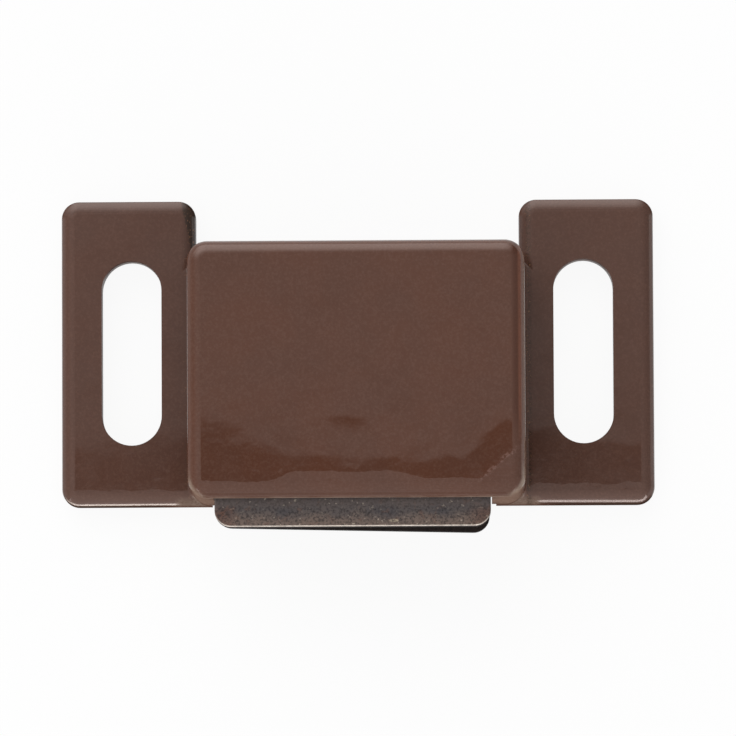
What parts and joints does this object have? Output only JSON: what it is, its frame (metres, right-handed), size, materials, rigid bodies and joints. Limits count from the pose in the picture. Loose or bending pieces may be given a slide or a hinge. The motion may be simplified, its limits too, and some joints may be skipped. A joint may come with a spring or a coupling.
{
  "type": "magnetic catch",
  "caption": "Cupboard-door magnetic catch: a moulded brown case with slotted ears, and a floating magnet between steel pole plates that stand out of its mouth.",
  "frame": {"origin": "on the mounting face, midway between the centres of the screw slots", "axes": "+X along the catch from ear to ear, +Z out of the surface it is screwed to, and the pole tips point to -Y, towards the door"},
  "size_m": [0.0476, 0.027, 0.0126],
  "materials": {
    "brown_moulding": "gloss",
    "pole_steel": "satin",
    "ferrite": "matte"
  },
  "bodies": {
    "case": {"case": "brown_moulding"},
    "magnet": {"magnet": "ferrite"},
    "front_plate": {"front_pole_plate": "pole_steel"},
    "rear_plate": {"rear_pole_plate": "pole_steel"}
  },
  "joints": [
    {"name": "stack_float", "type": "slide", "parent": "case", "child": "magnet", "axis": [0, 1, 0], "range_m": [-0.0003, 0.0003]},
    {"name": "front_plate_rock", "type": "hinge", "parent": "magnet", "child": "front_plate", "pos_m": [-0.00033, -0.0094, 0.01025], "axis": [0, 0, 1], "range_deg": [-1.4, 1.4]},
    {"name": "rear_plate_rock", "type": "hinge", "parent": "magnet", "child": "rear_plate", "pos_m": [-0.00033, -0.0093, 0.00395], "axis": [0, 0, 1], "range_deg": [-0.1, 2.7]}
  ]
}
